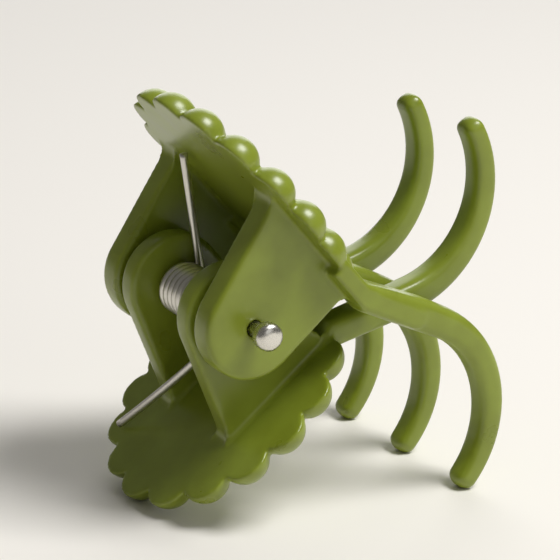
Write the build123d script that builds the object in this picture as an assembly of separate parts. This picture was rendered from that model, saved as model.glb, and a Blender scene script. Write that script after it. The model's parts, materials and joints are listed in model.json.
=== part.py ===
from build123d import *
import math
import os

os.makedirs("parts", exist_ok=True)

# Orchid clip: two moulded jaws, each a petalled finger pad with hooked tines,
# hinged on a wire pin and held shut by a torsion spring. It lies closed on its
# side: +X from the finger pads to the tines, Y along the pin, +Z up.
# All lengths are in millimetres and all angles in degrees.

# Finger pad shaped as a flower
flower_diameter = 14.0
petal_count = 16
petal_end_radius = 1.25
petal_root_radius = 0.5
petal_root_place = 1.5
boss_diameter = 3.6
boss_edge_height = 1.05
boss_top_height = 1.7

# Where the pad lies: its back from the pin, and its rim's gap to the other pad when closed
pad_back_place = 4.8
pad_meeting_gap = 0.33

# Tines: they rise from within the pad, lean outwards, then hook in towards the other jaw
tine_pitch = 5.5
tine_plane_above_back = 0.3
tine_root_behind_front = 2.85
lean_behind_front = 1.65
tine_lean = 22.5
tine_straight_run = 5.1
tine_bend_radius = 5.6
tine_bend_angle = 103.5
tine_root_half_depth = 0.95
tine_half_depth = 0.8
tine_tip_half_depth = 0.55
tine_root_width = 1.75
tine_tip_width = 1.4
tine_edge_round = 0.3
ridge_run = 3.3

# Web that joins the roots of the three tines, with an arch between each pair
web_outer_height = 0.25
web_inner_depth = 0.75
web_top_behind_front = 4.0
web_corner_round = 0.8
arch_edge_round = 0.25
stop_gap = 0.12

# Hinge lugs, the pair on the three-tine jaw outside the pair on the other
lug_end_radius = 2.6
lug_lean = 16.0
lug_flare = 0.6
lug_edge_round = 0.25
outer_lug_thickness = 1.5
inner_lug_thickness = 1.25

# How the free length of the pin is shared: spring to inner lug, inner to outer lug, lug to head
side_gap_shares = (0.4, 0.25, 0.35)

# Pin, a steel wire headed at both ends, a little longer than the pads are wide
pin_diameter = 0.75
pin_overhang = 0.05
pin_head_diameter = 1.4
pin_head_length = 0.9
pin_head_round = 0.3
running_gap = 0.05

# Torsion spring
spring_wire_diameter = 0.4
spring_outer_diameter = 2.7
spring_pitch = 0.82
spring_full_turns = 3
spring_leg_reach = 5.5
spring_leg_gap = 0.06
spring_leg_ease = 1.2

# How far the jaws close and open
closed_half_angle = 43.9
opening_travel = 100.0

# One overrun for every cut that passes right through
overrun = 1.0


def turned(place, angle):
    """The point (along, out) of a jaw after it turns by an angle about the pin."""
    along, out = place
    cosine = math.cos(math.radians(angle))
    sine = math.sin(math.radians(angle))
    return (along * cosine + out * sine, out * cosine - along * sine)


def flower_front():
    """Distance from the pin, along the pad, to the rim that nearly meets the other pad."""
    half = math.radians(closed_half_angle)
    return (pad_back_place * math.cos(half) - pad_meeting_gap / 2) / math.sin(half)


def petal():
    """One rib of the flower: a cone that swells into a ball at the rim, flat underneath."""
    ball_place = flower_diameter / 2 - petal_end_radius
    swell = petal_end_radius - petal_root_radius
    taper = math.asin(swell / (ball_place - petal_root_place))
    middle = (math.pi / 2 + taper) / 2
    root_x = petal_root_place - petal_root_radius * math.sin(taper)
    root = (root_x, petal_root_radius * math.cos(taper))
    shoulder_x = ball_place - petal_end_radius * math.sin(taper)
    shoulder = (shoulder_x, petal_end_radius * math.cos(taper))
    crown_x = ball_place + petal_end_radius * math.cos(middle)
    crown = (crown_x, petal_end_radius * math.sin(middle))
    tip = (flower_diameter / 2, 0)
    outline = [
        Polyline(tip, (root_x, 0), root, shoulder),
        ThreePointArc(shoulder, crown, tip),
    ]
    rib = revolve(make_face(outline), Axis.X)
    return split(rib, Plane.XY, keep=Keep.TOP)


def boss():
    """The domed button in the middle of the flower."""
    radius = boss_diameter / 2
    rise = boss_top_height - boss_edge_height
    dome_radius = (radius ** 2 + rise ** 2) / (2 * rise)
    dome_centre = boss_top_height - dome_radius
    half_sweep = math.asin(radius / dome_radius) / 2
    dome_middle_x = dome_radius * math.sin(half_sweep)
    dome_middle_z = dome_centre + dome_radius * math.cos(half_sweep)
    edge = (radius, boss_edge_height)
    top = (0, boss_top_height)
    outline = [
        Polyline(top, (0, 0), (radius, 0), edge),
        ThreePointArc(edge, (dome_middle_x, dome_middle_z), top),
    ]
    return revolve(Plane.XZ * make_face(outline), Axis.Z)


def flower():
    """The petalled finger pad, in its place on a jaw."""
    rib = petal()
    ribs = [Rot(0, 0, number * 360 / petal_count) * rib for number in range(petal_count)]
    pad = boss().fuse(*ribs)
    return Pos(flower_front() - flower_diameter / 2, 0, pad_back_place) * pad


def tine_plane():
    """Distance from the pin to the middle plane of the tines where it runs in the pad."""
    return pad_back_place + tine_plane_above_back


def leaned(run, height):
    """The point (along, out) of a jaw, given past the bend and above the leaned middle plane."""
    along, out = turned((run, height), -tine_lean)
    return (flower_front() - lean_behind_front + along, tine_plane() + out)


def bend_point(share, offset):
    """A point of a tine's hook: its share of the turn, and its offset from the middle line."""
    angle = math.radians(tine_bend_angle * share)
    radius = tine_bend_radius + offset
    run = tine_straight_run + radius * math.sin(angle)
    return leaned(run, radius * math.cos(angle) - tine_bend_radius)


def tine_outline():
    """Side view of a tine: its root in the pad, a leaned straight run, then the hook."""
    root = flower_front() - tine_root_behind_front
    middle_half_depth = (tine_half_depth + tine_tip_half_depth) / 2
    outer_end = bend_point(1, tine_tip_half_depth)
    inner_end = bend_point(1, -tine_tip_half_depth)
    end_along, end_out = bend_point(1, 0)
    tip_turn = math.radians(tine_bend_angle - tine_lean)
    tip_along = end_along + tine_tip_half_depth * math.cos(tip_turn)
    tip_out = end_out - tine_tip_half_depth * math.sin(tip_turn)
    outer_start = bend_point(0, tine_half_depth)
    inner_start = bend_point(0, -tine_half_depth)
    return [
        Polyline(
            inner_start,
            leaned(0, -tine_root_half_depth),
            (root, pad_back_place),
            (root, tine_plane()),
            leaned(ridge_run, tine_half_depth),
            outer_start,
        ),
        ThreePointArc(outer_start, bend_point(1 / 2, middle_half_depth), outer_end),
        ThreePointArc(outer_end, (tip_along, tip_out), inner_end),
        ThreePointArc(inner_end, bend_point(1 / 2, -middle_half_depth), inner_start),
    ]


def tine(place):
    """One tine at its place along the pin, narrowing from its root to its tip."""
    root = flower_front() - tine_root_behind_front
    reach = bend_point(1, tine_bend_radius)[0]
    side_view = extrude(Plane.XZ * make_face(tine_outline()), tine_root_width, both=True)
    front_view = make_face(
        Polyline(
            (root, tine_root_width / 2),
            (reach, tine_tip_width / 2),
            (reach, -tine_tip_width / 2),
            (root, -tine_root_width / 2),
            close=True,
        )
    )
    height = tine_plane() + tine_straight_run + tine_bend_radius
    blank = side_view & extrude(front_view, height, both=True)
    root_corners = blank.faces().sort_by(Axis.X)[0].vertices()
    soft_edges = [
        edge
        for edge in blank.edges().filter_by(Axis.Y, reverse=True)
        if not any(corner in root_corners for corner in edge.vertices())
    ]
    return Pos(0, place, 0) * fillet(soft_edges, tine_edge_round)


def arch_top():
    """Run past the bend at which the closed tines of the other jaw rest in the arches."""
    bend_out = turned(leaned(0, 0), closed_half_angle)[1]
    slope = math.radians(closed_half_angle - tine_lean)
    room = 2 * bend_out * math.cos(slope) - web_inner_depth * math.cos(2 * slope)
    return (room - tine_root_half_depth - stop_gap) / math.sin(2 * slope)


def web():
    """The bent plate below the flower that carries three tines, arched between them."""
    bend_along, bend_out = leaned(0, 0)
    half_turn = math.tan(math.radians(tine_lean / 2))
    half_width = tine_pitch + tine_root_width / 2
    arch_radius = (tine_pitch - tine_root_width) / 2
    top = flower_front() - web_top_behind_front
    bottom = arch_top() + arch_radius
    side_view = make_face(
        Polyline(
            (top, bend_out + web_outer_height),
            (bend_along - web_outer_height * half_turn, bend_out + web_outer_height),
            leaned(bottom, web_outer_height),
            leaned(bottom, -web_inner_depth),
            (bend_along + web_inner_depth * half_turn, bend_out - web_inner_depth),
            (top, bend_out - web_inner_depth),
            close=True,
        )
    )
    plate = extrude(Plane.XZ * side_view, half_width, both=True)
    corners = plate.faces().sort_by(Axis.X)[0].edges().filter_by(Axis.Z)
    plate = fillet(corners, web_corner_round)
    arch = Cylinder(arch_radius, 2 * (web_inner_depth + overrun))
    leaning = Pos(bend_along, 0, bend_out) * Rot(0, -tine_lean, 0)
    for side in (-1, 1):
        plate -= leaning * Pos(bottom, side * tine_pitch / 2, 0) * arch
    rims = plate.edges().filter_by(GeomType.CIRCLE)
    rims = [edge for edge in rims if math.isclose(edge.radius, arch_radius)]
    return fillet(rims, arch_edge_round)


def lug_flank(lean):
    """One long edge of a lug, at +X: its start at the round end and its flare at the pad.

    The edge touches the round end and leans outwards by an angle from the square.
    """
    cosine = math.cos(math.radians(lean))
    sine = math.sin(math.radians(lean))
    half_turn = math.radians((90 + lean) / 2)
    foot = pad_back_place - lug_flare
    centre = (lug_end_radius + lug_flare + foot * sine) / cosine
    return [
        (lug_end_radius * cosine, -lug_end_radius * sine),
        (centre - lug_flare * cosine, foot + lug_flare * sine),
        (centre - lug_flare * math.cos(half_turn), foot + lug_flare * math.sin(half_turn)),
        (centre, pad_back_place),
    ]


def lug(place, thickness):
    """A hinge ear: rounded about the pin, flared where it grows out of the pad's back."""
    front = lug_flank(0)
    back = [(-along, out) for along, out in lug_flank(lug_lean)]
    front_root = (front[3][0], tine_plane())
    back_root = (back[3][0], tine_plane())
    outline = [
        ThreePointArc(back[0], (0, -lug_end_radius), front[0]),
        Line(front[0], front[1]),
        ThreePointArc(front[1], front[2], front[3]),
        Polyline(front[3], front_root, back_root, back[3]),
        ThreePointArc(back[3], back[2], back[1]),
        Line(back[1], back[0]),
    ]
    ear = extrude(Plane.XZ * make_face(outline), thickness / 2, both=True)
    flare_start = pad_back_place - lug_flare
    rims = [edge for edge in ear.edges() if edge.center().Z < flare_start - lug_edge_round]
    rims = [edge for edge in rims if abs(edge.center().Y) > thickness / 4]
    ear = fillet(rims, lug_edge_round)
    hole = Rot(90, 0, 0) * Cylinder(pin_diameter / 2 + running_gap, thickness + 2 * overrun)
    return Pos(0, place, 0) * (ear - hole)


def coil_length():
    """Length of the coil along the pin."""
    return spring_pitch * spring_full_turns + spring_wire_diameter


def pin_length():
    """Length of the pin over both heads."""
    return flower_diameter + 2 * pin_overhang


def lug_places():
    """Middle of an inner and of an outer lug along the pin."""
    lugs = outer_lug_thickness + inner_lug_thickness
    room = (pin_length() - coil_length()) / 2 - pin_head_length - lugs
    inner = coil_length() / 2 + side_gap_shares[0] * room + inner_lug_thickness / 2
    return (inner, inner + lugs / 2 + side_gap_shares[1] * room)


def three_tine_jaw():
    """The jaw with three tines, its web and the outer pair of lugs."""
    tines = [tine(number * tine_pitch) for number in (-1, 0, 1)]
    lugs = [lug(side * lug_places()[1], outer_lug_thickness) for side in (-1, 1)]
    return flower().fuse(web(), *tines, *lugs)


def two_tine_jaw():
    """The jaw with two tines, which pass through the arches, and the inner pair of lugs."""
    tines = [tine(side * tine_pitch / 2) for side in (-1, 1)]
    lugs = [lug(side * lug_places()[0], inner_lug_thickness) for side in (-1, 1)]
    return flower().fuse(*tines, *lugs)


def hinge_pin():
    """The wire pin with a rounded head at each end."""
    shank = Rot(90, 0, 0) * Cylinder(pin_diameter / 2, pin_length() - pin_head_length)
    head = Rot(90, 0, 0) * Cylinder(pin_head_diameter / 2, pin_head_length)
    head = fillet(head.edges().filter_by(GeomType.CIRCLE), pin_head_round)
    head_place = (pin_length() - pin_head_length) / 2
    return shank.fuse(Pos(0, head_place, 0) * head, Pos(0, -head_place, 0) * head)


def leg_tip():
    """Middle of the upper leg's end, on the back of the upper pad, in the clip's own frame."""
    wire_radius = spring_wire_diameter / 2
    out = pad_back_place - wire_radius - spring_leg_gap
    return turned((-spring_leg_reach, out), closed_half_angle)


def coil_radius():
    """Radius of the middle line of the coil."""
    return (spring_outer_diameter - spring_wire_diameter) / 2


def leg_angle():
    """Angle about the pin at which the upper leg leaves the coil along its tangent."""
    tip_x, tip_z = leg_tip()
    reach = math.hypot(tip_x, tip_z)
    return math.atan2(tip_z, tip_x) - math.acos(coil_radius() / reach)


def helix_point(angle):
    """A point of the coil's middle line: steady turns, climbing one pitch a turn along Y."""
    radius = coil_radius()
    middle = math.pi * spring_full_turns
    climb = spring_pitch * (angle - middle) / (2 * math.pi)
    return Vector(radius * math.cos(angle), climb, radius * math.sin(angle))


def helix_direction(angle):
    """The coil's direction of travel at an angle about the pin."""
    radius = coil_radius()
    climb = spring_pitch / (2 * math.pi)
    return Vector(-radius * math.sin(angle), climb, radius * math.cos(angle)).normalized()


def biarc(start, start_way, end, end_way):
    """Two arcs that leave start and reach end in the given directions and meet smoothly."""
    across = end - start
    ways = start_way + end_way
    along = across.dot(ways)
    spread = 2 * (1 - start_way.dot(end_way))
    reach = (math.sqrt(along ** 2 + spread * across.dot(across)) - along) / spread
    joint = (start + end + (start_way - end_way) * reach) * (1 / 2)
    joint_way = (end - end_way * reach) - (start + start_way * reach)
    first = TangentArc(start, joint, tangent=start_way)
    second = TangentArc(joint, end, tangent=joint_way.normalized())
    return [first, second]


def leg(start, way):
    """A leg from the coil's end: a slight bend that stops its climb, and a straight run."""
    flat_way = Vector(way.X, 0, way.Z).normalized()
    eased = start + (way + flat_way).normalized() * spring_leg_ease
    length = math.sqrt(math.hypot(*leg_tip()) ** 2 - coil_radius() ** 2)
    straight = length - (eased - start).dot(flat_way)
    return [TangentArc(start, eased, tangent=way), Line(eased, eased + flat_way * straight)]


def spring_path():
    """Middle line of the spring: a leg, the coil in quarter turns, and the other leg."""
    lead = leg_angle()
    first = -lead
    last = 2 * math.pi * spring_full_turns + lead
    steps = round((last - first) / (math.pi / 2))
    angles = [first + (last - first) * step / steps for step in range(steps + 1)]
    pieces = leg(helix_point(first), -helix_direction(first))
    for before, after in zip(angles, angles[1:]):
        pieces += biarc(
            helix_point(before), helix_direction(before), helix_point(after), helix_direction(after)
        )
    pieces += leg(helix_point(last), helix_direction(last))
    return Wire(pieces)


def torsion_spring():
    """One unbroken round wire: coil and two straight legs."""
    path = spring_path()
    section = Plane(path @ 0, z_dir=path % 0) * Circle(spring_wire_diameter / 2)
    return sweep(section, path=path)


def least_coil_gap():
    """Least clear space between one turn of the coil and the next, measured on points."""
    steps_a_turn = 32
    steps = steps_a_turn * spring_full_turns
    points = [helix_point(2 * math.pi * step / steps_a_turn) for step in range(steps + 1)]
    apart = steps_a_turn // 2
    gaps = []
    for number, point in enumerate(points):
        for other in points[number + apart:]:
            gaps.append((point - other).length - spring_wire_diameter)
    return min(gaps)


def lay_angle():
    """Tilt that puts the lowest petal and the three tine tips on one level.

    It is the slope of the line that touches the petal's ball and the round of a
    tip from below.
    """
    ball_along = flower_front() - flower_diameter + petal_end_radius
    mirrored = turned((ball_along, pad_back_place), closed_half_angle)
    ball = (mirrored[0], -mirrored[1])
    tip = turned(bend_point(1, 0), closed_half_angle)
    run = tip[0] - ball[0]
    rise = tip[1] - ball[1]
    radius_step = petal_end_radius - tine_tip_half_depth
    slope = math.atan2(rise, run) + math.asin(radius_step / math.hypot(run, rise))
    return math.degrees(slope)


lay = lay_angle()
lying = Rot(0, lay, 0)
upper = lying * Rot(0, closed_half_angle, 0)
lower = lying * Rot(0, -closed_half_angle, 0) * Rot(180, 0, 0)
pieces = {
    "three_tine_jaw": upper * three_tine_jaw(),
    "two_tine_jaw": lower * two_tine_jaw(),
    "hinge_pin": lying * hinge_pin(),
    "torsion_spring": lying * torsion_spring(),
}

# The reference point is the middle of the footprint, on the surface it lies on
box = Compound(list(pieces.values())).bounding_box()
home = Pos(-box.center().X, -box.center().Y, -box.min.Z)
for name, piece in pieces.items():
    export_step(home * piece, "parts/" + name + ".step")

pin_place = (home * Pos(0, 0, 0)).position
print("pin centre", [round(value, 4) for value in pin_place])
print("lay angle", round(lay, 3), "jaws closed at", closed_half_angle, "each side")
print("travel", opening_travel)
print("size", [round(value, 3) for value in box.size])
print("flower's front rim from pin", round(flower_front(), 3))
print("arch top past the bend", round(arch_top(), 3))
print("inner and outer lug places", [round(place, 3) for place in lug_places()])
print("least gap between spring turns", round(least_coil_gap(), 3))
wire_area = math.pi * spring_wire_diameter ** 2 / 4
print("spring volume", round(pieces["torsion_spring"].volume, 3))
print("section times length", round(wire_area * spring_path().length, 3))
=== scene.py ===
import json
import math

import bmesh
import bpy
import numpy as np
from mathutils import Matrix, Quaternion, Vector


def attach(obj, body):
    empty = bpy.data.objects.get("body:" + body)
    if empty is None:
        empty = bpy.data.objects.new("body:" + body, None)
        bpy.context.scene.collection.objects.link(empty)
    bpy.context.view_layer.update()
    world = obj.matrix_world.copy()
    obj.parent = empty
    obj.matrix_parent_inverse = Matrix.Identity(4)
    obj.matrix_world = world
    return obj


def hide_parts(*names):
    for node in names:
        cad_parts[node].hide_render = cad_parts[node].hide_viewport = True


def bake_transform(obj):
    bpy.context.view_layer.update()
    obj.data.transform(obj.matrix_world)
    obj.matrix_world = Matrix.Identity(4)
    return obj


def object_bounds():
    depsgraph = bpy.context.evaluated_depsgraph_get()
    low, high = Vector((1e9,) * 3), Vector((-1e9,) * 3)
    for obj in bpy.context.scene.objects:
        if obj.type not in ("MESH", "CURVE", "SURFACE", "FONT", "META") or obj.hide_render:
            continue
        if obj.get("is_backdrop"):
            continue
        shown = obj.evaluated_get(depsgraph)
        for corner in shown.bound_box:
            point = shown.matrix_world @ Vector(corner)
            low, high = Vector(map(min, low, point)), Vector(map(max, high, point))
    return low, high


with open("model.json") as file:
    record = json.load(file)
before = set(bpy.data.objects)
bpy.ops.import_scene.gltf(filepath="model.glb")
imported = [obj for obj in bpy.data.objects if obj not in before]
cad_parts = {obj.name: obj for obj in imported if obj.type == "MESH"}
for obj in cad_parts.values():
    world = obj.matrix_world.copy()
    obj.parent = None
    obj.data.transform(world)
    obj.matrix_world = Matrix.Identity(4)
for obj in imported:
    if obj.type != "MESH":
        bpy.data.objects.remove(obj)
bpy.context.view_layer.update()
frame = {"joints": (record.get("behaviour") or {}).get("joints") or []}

# Millimetres to metres
MM = 0.001

# Finger pad shaped as a flower, in millimetres
flower_diameter = 14.0
petal_count = 16
petal_end_radius = 1.25
petal_root_radius = 0.5
petal_root_place = 1.5
boss_diameter = 3.6
boss_edge_height = 1.05
boss_top_height = 1.7
pad_back_place = 4.8
pad_meeting_gap = 0.33

# Tines
tine_pitch = 5.5
tine_plane_above_back = 0.3
tine_root_behind_front = 2.85
lean_behind_front = 1.65
tine_lean = 22.5
tine_straight_run = 5.1
tine_bend_radius = 5.6
tine_bend_angle = 103.5
tine_root_half_depth = 0.95
tine_half_depth = 0.8
tine_tip_half_depth = 0.55
tine_root_width = 1.75
tine_tip_width = 1.4
ridge_run = 3.3

# Share of the root's inner line that leads down to the bend, where the ridge begins
root_corner_share = 0.4

# Power of a tine's oblong section: 2 is an ellipse, and more is squarer
section_power = 3.6

# Square of the width's share that a tine's last ring keeps
last_ring_share = 0.001

# Web with its two arches
web_outer_height = 0.25
web_inner_depth = 0.75
web_top_behind_front = 4.0
stop_gap = 0.12

# Hinge lugs
lug_end_radius = 2.6
lug_lean = 16.0
lug_flare = 0.6
lug_edge_round = 0.25
outer_lug_place = 4.71
outer_lug_thickness = 1.5
inner_lug_place = 2.843
inner_lug_thickness = 1.25

# Pin
pin_diameter = 0.75
pin_length = 14.1
pin_head_diameter = 1.4
pin_head_length = 0.9
running_gap = 0.05

# A head's profile from its end inwards, as shares of its radius and of its length
pin_head_shares = [(0.35, 0), (0.72, 0.05), (0.94, 0.2), (1, 0.45), (0.97, 0.75), (0.84, 0.94)]

# The shank swells to this share of its radius where it meets the head, over this length
pin_neck_share = 1.12
pin_neck_length = 0.12

# Spring
spring_wire_diameter = 0.4
spring_outer_diameter = 2.7
spring_turns = 9
spring_pitch = 0.42
upper_leg_reach = 5.0
lower_leg_reach = 6.6
upper_leg_slant = 0.1
lower_leg_slant = 6.1
leg_slant_power = 1.25
spring_leg_gap = 0.06

# How the closed clip lies
closed_half_angle = 43.9
lay_angle = 3.52
pin_place = np.array(frame["joints"][0]["pos_m"]) / MM

# Grain of the moulded pieces' meshes, and the passes that soften their edges
grain = 0.11
soften_share = 0.5
soften_passes = 4

# Points nearer than these are one: in a moulding's draft, in millimetres, and in metres
draft_weld = 1e-5
weld = 1e-8

# Points of the grids: round a rib, the button, a tine, the pin and the wire
petal_around = 40
boss_around = 48
tine_around = 40
pin_around = 40
wire_around = 14

# Points along a rib's two balls and over the button's dome
small_ball_steps = 5
large_ball_steps = 16
dome_steps = 12

# Points of a tine's root, straight run, hook and tip
root_steps = 24
straight_steps = 10
hook_steps = 48
tip_steps = 9

# Points of a rounded edge, of an arch, and of a lug's end, straight flank, flare and foot
edge_steps = 9
arch_steps = 33
lug_end_steps = 40
lug_flank_steps = 14
lug_flare_steps = 7
lug_foot_steps = 24

# Points of the coil and of a leg, and the point of a leg at which its twist ends
coil_steps = 720
leg_steps = 30
twist_end_step = 5

# Lamps, each with its place from the clip's middle in metres, its watts and its size
key_lamp = ((0.11, -0.1, 0.26), 0.88, 0.13)
back_lamp = ((0.24, 0.4, 0.19), 1.0, 0.4)
fill_lamp = ((0.05, -0.33, 0.13), 0.08, 0.2)
room_light = 0.15
table_half = 0.6

# Camera: the way to it from the pin, and the width that its frame shows at the pin
camera_way = np.array((-0.467, -0.831, 0.303))
camera_distance = 0.12
camera_roll = 2.4
camera_aim = (-0.0010, 0.0, 0.0104)
frame_width = 0.0274
sensor_width = 36
near_clip = 0.01

# Where the flower's front rim and the tines' middle plane lie on a jaw
closed_turn = math.radians(closed_half_angle)
pad_reach = pad_back_place * math.cos(closed_turn) - pad_meeting_gap / 2
flower_front = pad_reach / math.sin(closed_turn)
flower_middle = flower_front - flower_diameter / 2
tine_plane = pad_back_place + tine_plane_above_back
lean_place = flower_front - lean_behind_front


def turned(place, angle):
    """The point (along, out) of a jaw after it turns by an angle about the pin."""
    along, out = place
    cosine = math.cos(math.radians(angle))
    sine = math.sin(math.radians(angle))
    return (along * cosine + out * sine, out * cosine - along * sine)


def upper_place(points):
    """Points of the upper jaw's own frame, turned to where it lies closed, in metres."""
    x, z = turned((points[:, 0], points[:, 2]), closed_half_angle + lay_angle)
    return (np.column_stack([x, points[:, 1], z]) + pin_place) * MM


def lower_place(points):
    """Points of the lower jaw's own frame, flipped over and turned to where it lies, in metres."""
    x, z = turned((points[:, 0], -points[:, 2]), lay_angle - closed_half_angle)
    return (np.column_stack([x, -points[:, 1], z]) + pin_place) * MM


def middle_place(points):
    """Points of the clip's own frame, tilted to where it lies, in metres."""
    x, z = turned((points[:, 0], points[:, 2]), lay_angle)
    return (np.column_stack([x, points[:, 1], z]) + pin_place) * MM


def grid_faces(rows, columns):
    """Quads between neighbouring rows of a grid, whose columns close into rings."""
    row = np.arange(rows - 1)[:, None]
    column = np.arange(columns)[None, :]
    after = (column + 1) % columns
    quads = [row * columns + column, row * columns + after]
    quads += [(row + 1) * columns + after, (row + 1) * columns + column]
    return np.stack(np.broadcast_arrays(*quads), -1).reshape(-1, 4)


def closed_shell(points):
    """A grid of rings, as rows, made one closed surface: each end row shrinks to its middle."""
    rows, columns = points.shape[:2]
    first = np.broadcast_to(points[0].mean(0), (1, columns, 3))
    last = np.broadcast_to(points[-1].mean(0), (1, columns, 3))
    capped = np.concatenate([first, points, last])
    return capped.reshape(-1, 3), grid_faces(rows + 2, columns)


def joined(shells):
    """Several surfaces as one list of points and one list of faces."""
    starts = np.cumsum([0] + [len(points) for points, faces in shells[:-1]])
    all_points = np.concatenate([points for points, faces in shells])
    all_faces = np.concatenate([shell[1] + start for start, shell in zip(starts, shells)])
    return all_points, all_faces


def mesh_object(name, points, faces):
    """A mesh object at the origin from arrays of points and faces."""
    mesh = bpy.data.meshes.new(name)
    mesh.from_pydata(points.tolist(), [], faces.tolist())
    piece = bpy.data.objects.new(name, mesh)
    bpy.context.scene.collection.objects.link(piece)
    return piece


def weld_points(piece, distance):
    """Welds the points that lie on each other, and turns all faces outwards."""
    work = bmesh.new()
    work.from_mesh(piece.data)
    bmesh.ops.remove_doubles(work, verts=work.verts, dist=distance)
    bmesh.ops.recalc_face_normals(work, faces=work.faces)
    work.to_mesh(piece.data)
    work.free()


def moulded(name, shells, place):
    """One moulding from overlapping closed shells: united on a fine grain, its edges softened."""
    draft = mesh_object(name + "_draft", *joined(shells))
    weld_points(draft, draft_weld)
    unite = draft.modifiers.new("unite", "REMESH")
    unite.mode = "VOXEL"
    unite.voxel_size = grain
    soften = draft.modifiers.new("soften", "SMOOTH")
    soften.factor = soften_share
    soften.iterations = soften_passes
    bpy.context.view_layer.update()
    finished = draft.evaluated_get(bpy.context.evaluated_depsgraph_get())
    mesh = bpy.data.meshes.new_from_object(finished)
    bpy.data.objects.remove(draft)
    corners = np.empty(len(mesh.vertices) * 3)
    mesh.vertices.foreach_get("co", corners)
    mesh.vertices.foreach_set("co", place(corners.reshape(-1, 3)).ravel())
    mesh.shade_smooth()
    mesh.update()
    mesh.name = name
    piece = bpy.data.objects.new(name, mesh)
    bpy.context.scene.collection.objects.link(piece)
    return piece


def petal_shells():
    """Ribs of the flower: each half of a small ball and a large ball joined by their common cone.

    A rib's radius is worked out along its own middle line, from the small ball's
    pole to the large ball's. A ring is carried along it, and what would lie below
    the pad's flat back is pressed onto it.
    """
    ball_place = flower_diameter / 2 - petal_end_radius
    taper = math.asin((petal_end_radius - petal_root_radius) / (ball_place - petal_root_place))
    small = np.linspace(math.pi, math.pi / 2 + taper, small_ball_steps)
    large = np.linspace(math.pi / 2 + taper, 0, large_ball_steps)
    run = np.concatenate([
        petal_root_place + petal_root_radius * np.cos(small),
        ball_place + petal_end_radius * np.cos(large),
    ])
    radius = np.concatenate([petal_root_radius * np.sin(small), petal_end_radius * np.sin(large)])
    around = np.linspace(0, 2 * math.pi, petal_around, endpoint=False)
    y = radius[:, None] * np.cos(around)
    z = np.maximum(radius[:, None] * np.sin(around), 0) + pad_back_place
    x = np.broadcast_to(run[:, None], y.shape)
    shells = []
    for number in range(petal_count):
        angle = 2 * math.pi * number / petal_count
        along = x * math.cos(angle) - y * math.sin(angle) + flower_middle
        across = x * math.sin(angle) + y * math.cos(angle)
        shells.append(closed_shell(np.stack([along, across, z], -1)))
    return shells


def boss_shell():
    """The domed button: a short cylinder under a cap of a sphere, turned about the flower's axis."""
    radius = boss_diameter / 2
    rise = boss_top_height - boss_edge_height
    dome_radius = (radius ** 2 + rise ** 2) / (2 * rise)
    sweep = np.linspace(0, math.asin(radius / dome_radius), dome_steps)[1:]
    distance = np.concatenate([dome_radius * np.sin(sweep), [radius]])
    height = np.concatenate([boss_top_height - dome_radius * (1 - np.cos(sweep)), [0]])
    around = np.linspace(0, 2 * math.pi, boss_around, endpoint=False)
    x = distance[:, None] * np.cos(around) + flower_middle
    y = distance[:, None] * np.sin(around)
    z = np.broadcast_to(height[:, None], x.shape) + pad_back_place
    return closed_shell(np.stack([x, y, z], -1))


def flower_shells():
    """The whole flower of a finger pad: its ribs and its button."""
    return petal_shells() + [boss_shell()]


def leaned(run, height):
    """Points (along, out) of a jaw, given past the bend and above the leaned middle plane."""
    along, out = turned((run, height), -tine_lean)
    return np.stack([lean_place + along, tine_plane + out], -1)


def inner_depth(run):
    """How far a tine's inner line lies below its middle plane, tapering over the straight run."""
    return np.interp(run, [0, tine_straight_run], [tine_root_half_depth, tine_half_depth])


def tine_root():
    """The inner and the outer line of a tine's root, from under the flower to the ridge's end.

    The inner line runs from the pad's back down to the bend and then along the ridge.
    The outer line is straight.
    """
    root = flower_front - tine_root_behind_front
    share = np.linspace(0, 1, root_steps, endpoint=False)[:, None]
    start = (root, pad_back_place)
    corner = leaned(0, -tine_root_half_depth)
    ridge_end = leaned(ridge_run, -inner_depth(ridge_run))
    inner = np.where(
        share < root_corner_share,
        start + (corner - start) * share / root_corner_share,
        corner + (ridge_end - corner) * (share - root_corner_share) / (1 - root_corner_share),
    )
    outer_start = (root, tine_plane)
    outer = outer_start + (leaned(ridge_run, tine_half_depth) - outer_start) * share
    return inner, outer


def tine_hook():
    """The inner and the outer line of a tine's hook, and each point's share of the full width.

    Each line is an arc about the bend's centre, of the bend's radius less or plus the
    half depth, which tapers evenly. Past the arc both lines close on the middle line
    as half an ellipse, and the width shrinks with them.
    """
    turn = np.radians(tine_bend_angle) * np.linspace(0, 1, hook_steps)
    half_depth = np.interp(turn, [0, turn[-1]], [tine_half_depth, tine_tip_half_depth])
    beyond = tine_tip_half_depth * np.sin(np.linspace(0, math.pi / 2, tip_steps + 1))[1:]
    closing = np.sqrt(np.maximum(1 - (beyond / tine_tip_half_depth) ** 2, last_ring_share))
    turn = np.concatenate([turn, np.full(tip_steps, turn[-1])])
    half_depth = np.concatenate([half_depth, tine_tip_half_depth * closing])
    past = np.concatenate([np.zeros(hook_steps), beyond])
    lines = []
    for side in (-1, 1):
        radius = tine_bend_radius + side * half_depth
        run = tine_straight_run + radius * np.sin(turn) + past * np.cos(turn)
        height = radius * np.cos(turn) - past * np.sin(turn) - tine_bend_radius
        lines.append(leaned(run, height))
    return lines, np.concatenate([np.ones(hook_steps), closing])


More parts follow.
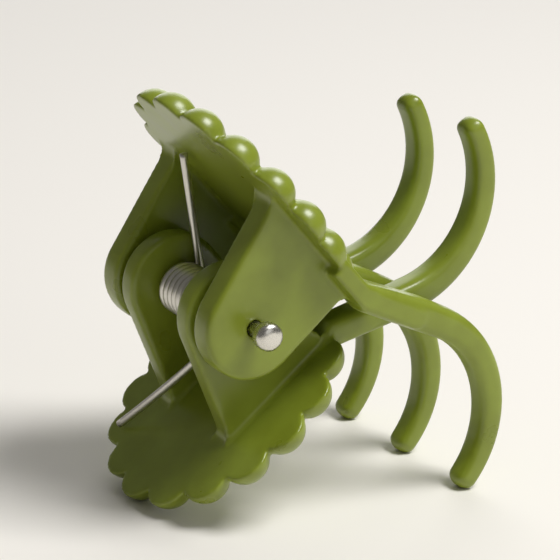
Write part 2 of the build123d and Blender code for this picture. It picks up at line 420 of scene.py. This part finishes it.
def tine_shell(place):
    """A tine: a rounded oblong section carried between its inner and its outer line.

    The section's points are a circle's cosine and sine, each raised to a power below
    one, which squares the ring off. The width tapers evenly with the place along X.
    """
    run = np.linspace(ridge_run, tine_straight_run, straight_steps, endpoint=False)
    inner_root, outer_root = tine_root()
    hook, width_share = tine_hook()
    inner = np.concatenate([inner_root, leaned(run, -inner_depth(run)), hook[0]])
    outer_run = leaned(run, np.full(straight_steps, tine_half_depth))
    outer = np.concatenate([outer_root, outer_run, hook[1]])
    middle = (inner + outer) / 2
    lift_way = (outer - inner) / 2
    half_width = np.interp(
        middle[:, 0], [middle[0, 0], middle[:, 0].max()], [tine_root_width / 2, tine_tip_width / 2]
    )
    half_width[-len(width_share):] *= width_share
    around = np.linspace(0, 2 * math.pi, tine_around, endpoint=False)
    power = 2 / section_power
    side = np.sign(np.cos(around)) * np.abs(np.cos(around)) ** power
    lift = np.sign(np.sin(around)) * np.abs(np.sin(around)) ** power
    x = middle[:, :1] + lift_way[:, :1] * lift
    z = middle[:, 1:] + lift_way[:, 1:] * lift
    y = half_width[:, None] * side + place
    return closed_shell(np.stack([x, y, z], -1))


def arch_top():
    """Run past the bend at which the closed tines of the other jaw rest in the arches."""
    bend_out = turned((lean_place, tine_plane), closed_half_angle)[1]
    slope = math.radians(closed_half_angle - tine_lean)
    room = 2 * bend_out * math.cos(slope) - web_inner_depth * math.cos(2 * slope)
    return (room - tine_root_half_depth - stop_gap) / math.sin(2 * slope)


def web_shell():
    """The web: a bent plate's side view carried across the jaw, its lower edge two arches.

    Over each arch the edge rises as a half circle between two tines. The edge
    itself is rounded as a half circle between the plate's faces.
    """
    top = flower_front - web_top_behind_front
    half_width = tine_pitch + tine_root_width / 2
    arch_radius = (tine_pitch - tine_root_width) / 2
    bottom = arch_top() + arch_radius
    swing = np.linspace(math.pi, 0, arch_steps)
    left_arch = -tine_pitch / 2 + arch_radius * np.cos(swing)
    right_arch = tine_pitch / 2 + arch_radius * np.cos(swing)
    across = np.concatenate([[-half_width], left_arch, right_arch, [half_width]])
    rise = arch_radius * np.sin(swing)
    lower = bottom - np.concatenate([[0], rise, rise, [0]])
    half = (web_outer_height + web_inner_depth) / 2
    level = (web_outer_height - web_inner_depth) / 2
    half_turn = math.tan(math.radians(tine_lean / 2))
    edge_turn = np.linspace(math.pi / 2, -math.pi / 2, edge_steps)
    share = np.array([0.2, 0.4, 0.6, 0.8])
    outer_face = np.full(len(share), web_outer_height)
    inner_face = np.full(len(share), -web_inner_depth)
    height = np.concatenate([outer_face, level + half * np.sin(edge_turn), inner_face])
    flat = [
        (lean_place + web_inner_depth * half_turn, tine_plane - web_inner_depth),
        (top, tine_plane - web_inner_depth),
        (top, tine_plane + web_outer_height),
        (lean_place - web_outer_height * half_turn, tine_plane + web_outer_height),
    ]
    rings = []
    for y, reach in zip(across, lower - half):
        run = np.concatenate([share * reach, reach + half * np.cos(edge_turn), share[::-1] * reach])
        side_view = np.concatenate([leaned(run, height), flat])
        rings.append(np.insert(side_view, 1, y, axis=1))
    return closed_shell(np.array(rings))


def lug_flank(lean):
    """One long edge of a lug, at +X, from the round end up to the middle plane of the tines."""
    cosine = math.cos(math.radians(lean))
    sine = math.sin(math.radians(lean))
    foot = pad_back_place - lug_flare
    centre = (lug_end_radius + lug_flare + foot * sine) / cosine
    start = np.array([lug_end_radius * cosine, -lug_end_radius * sine])
    turn = np.radians(np.linspace(180 - lean, 90, lug_flare_steps))
    flare = np.column_stack([centre + lug_flare * np.cos(turn), foot + lug_flare * np.sin(turn)])
    share = np.linspace(0, 1, lug_flank_steps, endpoint=False)[:, None]
    straight = start + (flare[0] - start) * share
    return np.concatenate([straight, flare, [(centre, tine_plane)]])


def lug_outline():
    """A lug's outline, walked round the pin from the foot of its leaning edge.

    It runs round the end, up the upright edge, along the tines' middle plane and
    down the leaning edge.
    """
    front = lug_flank(0)
    back = lug_flank(lug_lean) * (-1, 1)
    round_end = np.radians(np.linspace(180 + lug_lean, 360, lug_end_steps, endpoint=False))
    share = np.linspace(0, 1, lug_foot_steps)[1:-1, None]
    return np.concatenate([
        lug_end_radius * np.column_stack([np.cos(round_end), np.sin(round_end)]),
        front,
        front[-1] + (back[-1] - front[-1]) * share,
        back[:0:-1],
    ])


def lug_shell(place, thickness):
    """A hinge ear: at each point of its outline a section is laid, towards the pin.

    The section runs from the hole's wall over one face, round the outer edge and
    back over the other face.
    """
    outline = lug_outline()
    reach = np.linalg.norm(outline, axis=1)
    half = thickness / 2
    hole = pin_diameter / 2 + running_gap
    turn = np.linspace(math.pi / 2, -math.pi / 2, edge_steps)
    inset = lug_edge_round * (1 - np.cos(turn))
    edge_lift = (half - lug_edge_round) * np.sign(np.sin(turn)) + lug_edge_round * np.sin(turn)
    edge_lift[edge_steps // 2] = 0
    face_share = np.array([0.0, 0.25, 0.5, 0.75])
    flat = hole + (reach[:, None] - lug_edge_round - hole) * face_share
    radius = np.concatenate([flat, reach[:, None] - inset, flat[:, ::-1]], 1)
    face_lift = np.full(len(face_share), half)
    lift = np.concatenate([face_lift, edge_lift, -face_lift])
    way = outline / reach[:, None]
    x = radius * way[:, :1]
    z = radius * way[:, 1:]
    y = np.broadcast_to(lift + place, x.shape)
    points = np.stack([x, y, z], -1)
    rows, columns = points.shape[:2]
    wrapped = np.concatenate([points, points[:1]])
    return wrapped.reshape(-1, 3), grid_faces(rows + 1, columns)


def three_tine_jaw():
    """The upper jaw: flower, web, three tines and the outer pair of lugs."""
    shells = flower_shells() + [web_shell()]
    shells += [tine_shell(number * tine_pitch) for number in (-1, 0, 1)]
    shells += [lug_shell(side * outer_lug_place, outer_lug_thickness) for side in (-1, 1)]
    return moulded("three_tine_moulding", shells, upper_place)


def two_tine_jaw():
    """The lower jaw: flower, two tines and the inner pair of lugs."""
    shells = flower_shells()
    shells += [tine_shell(side * tine_pitch / 2) for side in (-1, 1)]
    shells += [lug_shell(side * inner_lug_place, inner_lug_thickness) for side in (-1, 1)]
    return moulded("two_tine_moulding", shells, lower_place)


def hinge_pin():
    """The pin turned about its own length: a shank between two rounded heads."""
    half = pin_length / 2
    neck = half - pin_head_length
    shank = pin_diameter / 2
    head = np.array(pin_head_shares) * (pin_head_diameter / 2, -pin_head_length) + (0, half)
    profile = np.concatenate([head, [(shank * pin_neck_share, neck), (shank, neck - pin_neck_length)]])
    profile = np.concatenate([profile, profile[::-1] * (1, -1)])
    around = np.linspace(0, 2 * math.pi, pin_around, endpoint=False)
    x = profile[:, :1] * np.sin(around)
    z = profile[:, :1] * np.cos(around)
    y = np.broadcast_to(profile[:, 1:], x.shape)
    points, faces = closed_shell(np.stack([x, y, z], -1))
    piece = mesh_object("headed_pin", middle_place(points), faces)
    weld_points(piece, weld)
    piece.data.shade_smooth()
    return piece


def leg_run(reach):
    """Angle about the pin at which a leg leaves the coil, and its length to a reach on the pad."""
    radius = (spring_outer_diameter - spring_wire_diameter) / 2
    out = pad_back_place - spring_wire_diameter / 2 - spring_leg_gap
    tip_x, tip_z = turned((-reach, out), closed_half_angle)
    far = math.hypot(tip_x, tip_z)
    return math.atan2(tip_z, tip_x) - math.acos(radius / far), math.sqrt(far ** 2 - radius ** 2)


def spring_paths():
    """The wire's middle line in three stretches: lower leg, coil and upper leg.

    The coil is a helix that climbs along the pin. Each leg runs from an end of it
    along its tangent, and slants towards +Y ever more with the distance.
    """
    radius = (spring_outer_diameter - spring_wire_diameter) / 2
    lower_lead, lower_length = leg_run(lower_leg_reach)
    upper_lead, upper_length = leg_run(upper_leg_reach)
    angle = np.linspace(-lower_lead, 2 * math.pi * spring_turns + upper_lead, coil_steps)
    climb = spring_pitch * (angle - math.pi * spring_turns) / (2 * math.pi)
    coil = np.column_stack([radius * np.cos(angle), climb, radius * np.sin(angle)])
    share = np.linspace(0, 1, leg_steps)[1:, None]
    slant = share[:, 0] ** leg_slant_power
    upper_leg = coil[-1] + upper_length * share * (-math.sin(upper_lead), 0, math.cos(upper_lead))
    upper_leg[:, 1] += upper_leg_slant * slant
    lower_leg = coil[0] + lower_length * share * (-math.sin(lower_lead), 0, -math.cos(lower_lead))
    lower_leg[:, 1] += lower_leg_slant * slant
    return lower_leg, coil, upper_leg


def torsion_spring():
    """The spring: a ring carried square to the wire's middle line, from leg to leg.

    With it come the two points, one on each leg, between which the spring twists.
    """
    lower_leg, coil, upper_leg = spring_paths()
    path = np.concatenate([lower_leg[::-1], coil, upper_leg])
    way = np.gradient(path, axis=0)
    way /= np.linalg.norm(way, axis=1)[:, None]
    side = np.cross(way, np.array([0.0, 1.0, 0.0]))
    side /= np.linalg.norm(side, axis=1)[:, None]
    up = np.cross(side, way)
    wire = spring_wire_diameter / 2
    around = np.linspace(0, 2 * math.pi, wire_around, endpoint=False)[None, :, None]
    rings = path[:, None] + wire * (side[:, None] * np.cos(around) + up[:, None] * np.sin(around))
    points, faces = closed_shell(rings)
    piece = mesh_object("spring_wire", middle_place(points), faces)
    weld_points(piece, weld)
    piece.data.shade_smooth()
    return piece, middle_place(np.array([lower_leg[twist_end_step], upper_leg[twist_end_step]]))


def linear(colour):
    """An sRGB hex colour as linear red, green, blue and alpha."""
    values = [int(colour[place:place + 2], 16) / 255 for place in (1, 3, 5)]
    return [v / 12.92 if v <= 0.04045 else ((v + 0.055) / 1.055) ** 2.4 for v in values] + [1]


def add_node(tree, kind, settings=None, links=None, **properties):
    """Adds a node with its properties, its input values and its incoming links."""
    node = tree.nodes.new(kind)
    for name, value in properties.items():
        setattr(node, name, value)
    for name, value in (settings or {}).items():
        node.inputs[name].default_value = value
    for name, source in (links or {}).items():
        tree.links.new(source, node.inputs[name])
    return node


def new_material(name):
    """A material with an empty node tree, and that tree."""
    material = bpy.data.materials.new(name)
    material.use_nodes = True
    material.node_tree.nodes.clear()
    return material, material.node_tree


def moulded_polypropylene():
    """Moulded polypropylene: semi-gloss, with soft highlights and a faint cloudiness in the green.

    The clouds are as wide as a rib. The fine skin of the mould is drawn coarser than
    it is, so that it just breaks up the highlights.
    """
    material, tree = new_material("moulded_polypropylene_green")
    place = add_node(tree, "ShaderNodeTexCoord").outputs["Object"]
    cloud_size = 2.5 * MM
    cloud = add_node(
        tree, "ShaderNodeTexNoise", {"Scale": 1 / cloud_size, "Detail": 3.0, "Roughness": 0.55},
        {"Vector": place},
    )
    colour = add_node(tree, "ShaderNodeValToRGB", links={"Fac": cloud.outputs["Fac"]})
    colour.color_ramp.elements[0].position = 0.3
    colour.color_ramp.elements[0].color = linear("#7c8824")
    colour.color_ramp.elements[1].position = 0.7
    colour.color_ramp.elements[1].color = linear("#8a9830")
    skin_size = 0.18 * MM
    skin = add_node(
        tree, "ShaderNodeTexNoise", {"Scale": 1 / skin_size, "Detail": 2.0}, {"Vector": place}
    )
    gloss = add_node(
        tree, "ShaderNodeMapRange",
        {"From Min": 0.3, "From Max": 0.7, "To Min": 0.27, "To Max": 0.33},
        {"Value": cloud.outputs["Fac"]},
    )
    bump = add_node(
        tree, "ShaderNodeBump", {"Strength": 0.12, "Distance": 0.02 * MM},
        {"Height": skin.outputs["Fac"]},
    )
    shader = add_node(
        tree, "ShaderNodeBsdfPrincipled",
        {
            "IOR": 1.49, "Specular IOR Level": 0.6,
            "Subsurface Weight": 0.12, "Subsurface Scale": 0.5 * MM,
            "Subsurface Radius": (1.0, 1.0, 0.4),
        },
        {
            "Base Color": colour.outputs["Color"],
            "Roughness": gloss.outputs["Result"],
            "Normal": bump.outputs["Normal"],
        },
    )
    add_node(tree, "ShaderNodeOutputMaterial", links={"Surface": shader.outputs["BSDF"]})
    return material


def drawn_steel(name, colour, roughness):
    """Drawn steel wire: bright metal whose fine drawing marks scatter the reflections a little."""
    material, tree = new_material(name)
    place = add_node(tree, "ShaderNodeTexCoord").outputs["Object"]
    mark_size = 0.08 * MM
    marks = add_node(
        tree, "ShaderNodeTexNoise", {"Scale": 1 / mark_size, "Detail": 2.0}, {"Vector": place}
    )
    gloss = add_node(
        tree, "ShaderNodeMapRange",
        {"From Min": 0.3, "From Max": 0.7, "To Min": roughness, "To Max": roughness + 0.12},
        {"Value": marks.outputs["Fac"]},
    )
    bump = add_node(
        tree, "ShaderNodeBump", {"Strength": 0.15, "Distance": 0.008 * MM},
        {"Height": marks.outputs["Fac"]},
    )
    shader = add_node(
        tree, "ShaderNodeBsdfPrincipled", {"Base Color": linear(colour), "Metallic": 1.0},
        {"Roughness": gloss.outputs["Result"], "Normal": bump.outputs["Normal"]},
    )
    add_node(tree, "ShaderNodeOutputMaterial", links={"Surface": shader.outputs["BSDF"]})
    return material


def matt_table():
    """The pale table top: matt and nearly white."""
    material, tree = new_material("matt_pale_table")
    shader = add_node(
        tree, "ShaderNodeBsdfPrincipled", {"Base Color": linear("#efebe4"), "Roughness": 0.75}
    )
    add_node(tree, "ShaderNodeOutputMaterial", links={"Surface": shader.outputs["BSDF"]})
    return material


def finish_piece(piece, material):
    """Gives a piece its material."""
    piece.data.materials.clear()
    piece.data.materials.append(material)


def soft_lamp(name, settings, middle):
    """A square area lamp that faces a point."""
    offset, power, size = settings
    data = bpy.data.lights.new(name, "AREA")
    data.energy = power
    data.size = size
    lamp = bpy.data.objects.new(name, data)
    lamp.location = middle + np.array(offset)
    lamp.rotation_euler = (Vector(middle) - lamp.location).to_track_quat("-Z", "Y").to_euler()
    bpy.context.scene.collection.objects.link(lamp)


def photo_camera():
    """The camera at the photograph's viewing angle, rolled a little about its own view."""
    way = camera_way / np.linalg.norm(camera_way)
    data = bpy.data.cameras.new("camera")
    data.sensor_width = sensor_width
    data.lens = sensor_width * camera_distance / frame_width
    data.clip_start = near_clip
    camera = bpy.data.objects.new("camera", data)
    camera.location = pin_place * MM + way * camera_distance
    facing = (Vector(camera_aim) - camera.location).to_track_quat("-Z", "Y")
    roll = Quaternion((0, 0, 1), math.radians(camera_roll))
    camera.rotation_euler = (facing @ roll).to_euler()
    bpy.context.scene.collection.objects.link(camera)
    return camera


# The clip's four pieces
green = moulded_polypropylene()
upper_jaw = three_tine_jaw()
finish_piece(upper_jaw, green)
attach(upper_jaw, "swing_jaw")
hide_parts("three_tine_jaw")

lower_jaw = two_tine_jaw()
finish_piece(lower_jaw, green)
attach(lower_jaw, "base_jaw")
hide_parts("two_tine_jaw")

pin = hinge_pin()
finish_piece(pin, drawn_steel("drawn_steel_pin", "#dad7cf", 0.22))
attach(pin, "base_jaw")
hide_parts("hinge_pin")

spring, spring_ends = torsion_spring()
finish_piece(spring, drawn_steel("drawn_spring_steel", "#dad7cf", 0.3))
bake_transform(spring)
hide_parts("torsion_spring")

# Table
table = mesh_object(
    "table",
    np.array([(-1, -1, 0), (1, -1, 0), (1, 1, 0), (-1, 1, 0)]) * table_half,
    np.array([(0, 1, 2, 3)]),
)
table.data.materials.append(matt_table())
table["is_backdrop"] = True

# Light
low, high = (np.array(corner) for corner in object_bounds())
middle = (low + high) / 2
soft_lamp("key_lamp", key_lamp, middle)
soft_lamp("back_lamp", back_lamp, middle)
soft_lamp("fill_lamp", fill_lamp, middle)
world = bpy.data.worlds.new("soft_room")
world.use_nodes = True
background = world.node_tree.nodes["Background"]
background.inputs["Color"].default_value = linear("#f4f1ec")
background.inputs["Strength"].default_value = room_light
bpy.context.scene.world = world

bpy.context.scene.camera = photo_camera()
bpy.context.scene.view_settings.view_transform = "Standard"
